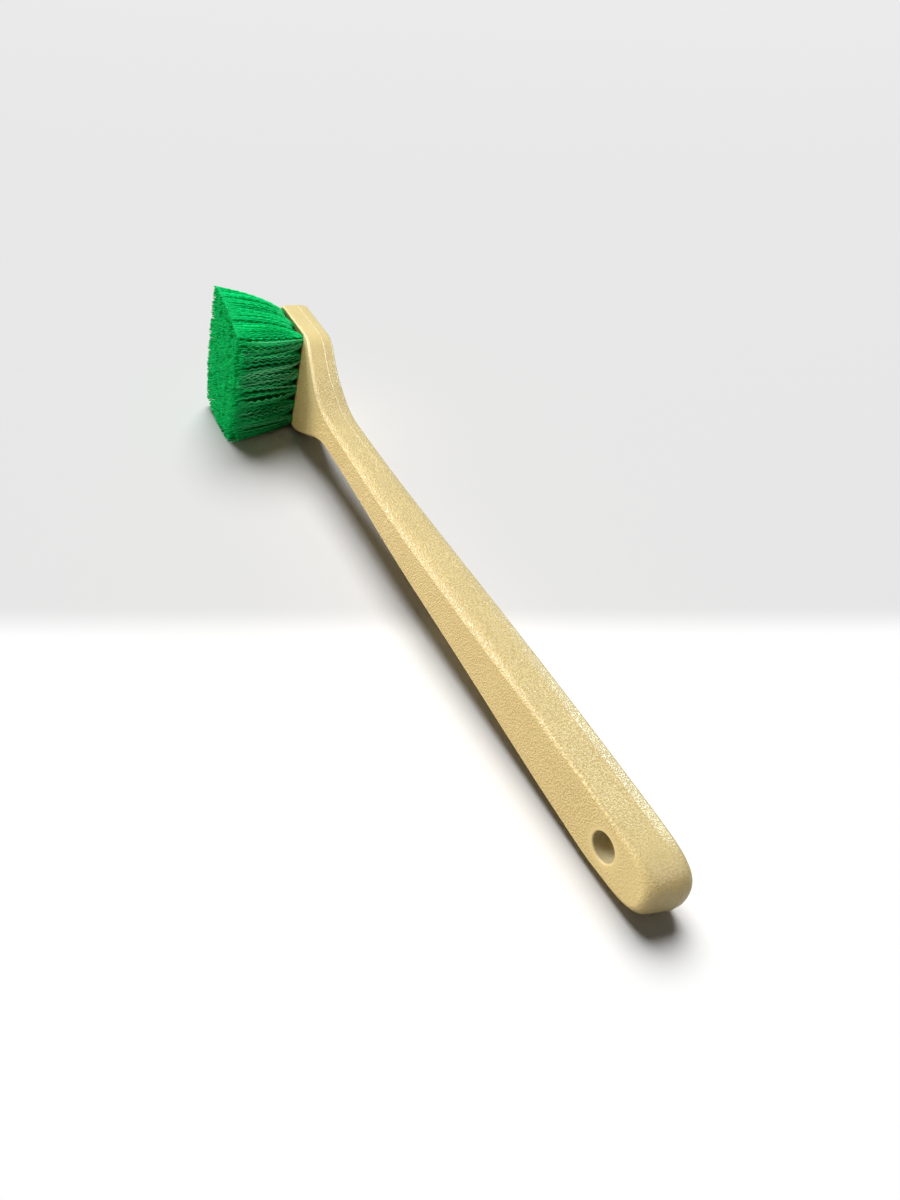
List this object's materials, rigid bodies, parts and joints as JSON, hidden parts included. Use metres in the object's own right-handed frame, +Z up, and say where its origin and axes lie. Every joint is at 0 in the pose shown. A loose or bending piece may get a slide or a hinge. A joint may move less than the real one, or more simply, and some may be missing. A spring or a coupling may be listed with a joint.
{
  "type": "wheel arch brush",
  "caption": "Long-handled scrubbing brush: one moulded plastic handle and block with a hanging hole, carrying a flared pack of stiff crimped filament tufts held by steel anchors.",
  "frame": {"origin": "middle of the brush's box on the table it lies on", "axes": "+X along the handle from the hanging-hole tip towards the brush head, +Y roughly out of the bristle face, +Z up from the table as the brush lies on its side"},
  "size_m": [0.526, 0.0816, 0.0977],
  "materials": {
    "moulded_plastic": "satin moulded plastic with a leather grain",
    "filament": "crimped satin filament",
    "anchor_steel": "flat drawn wire"
  },
  "bodies": {
    "root": {"handle": "moulded_plastic", "tuft_r1c1": "filament", "tuft_r1c2": "filament", "tuft_r1c3": "filament", "tuft_r1c4": "filament", "tuft_r1c5": "filament", "tuft_r1c6": "filament", "tuft_r2c1": "filament", "tuft_r2c2": "filament", "tuft_r2c3": "filament", "tuft_r2c4": "filament", "tuft_r2c5": "filament", "tuft_r3c1": "filament", "tuft_r3c2": "filament", "tuft_r3c3": "filament", "tuft_r3c4": "filament", "tuft_r3c5": "filament", "tuft_r3c6": "filament", "tuft_r4c1": "filament", "tuft_r4c2": "filament", "tuft_r4c3": "filament", "tuft_r4c4": "filament", "tuft_r4c5": "filament", "tuft_r5c1": "filament", "tuft_r5c2": "filament", "tuft_r5c3": "filament", "tuft_r5c4": "filament", "tuft_r5c5": "filament", "tuft_r5c6": "filament", "anchor_r1c1": "anchor_steel", "anchor_r1c2": "anchor_steel", "anchor_r1c3": "anchor_steel", "anchor_r1c4": "anchor_steel", "anchor_r1c5": "anchor_steel", "anchor_r1c6": "anchor_steel", "anchor_r2c1": "anchor_steel", "anchor_r2c2": "anchor_steel", "anchor_r2c3": "anchor_steel", "anchor_r2c4": "anchor_steel", "anchor_r2c5": "anchor_steel", "anchor_r3c1": "anchor_steel", "anchor_r3c2": "anchor_steel", "anchor_r3c3": "anchor_steel", "anchor_r3c4": "anchor_steel", "anchor_r3c5": "anchor_steel", "anchor_r3c6": "anchor_steel", "anchor_r4c1": "anchor_steel", "anchor_r4c2": "anchor_steel", "anchor_r4c3": "anchor_steel", "anchor_r4c4": "anchor_steel", "anchor_r4c5": "anchor_steel", "anchor_r5c1": "anchor_steel", "anchor_r5c2": "anchor_steel", "anchor_r5c3": "anchor_steel", "anchor_r5c4": "anchor_steel", "anchor_r5c5": "anchor_steel", "anchor_r5c6": "anchor_steel"}
  },
  "joints": []
}
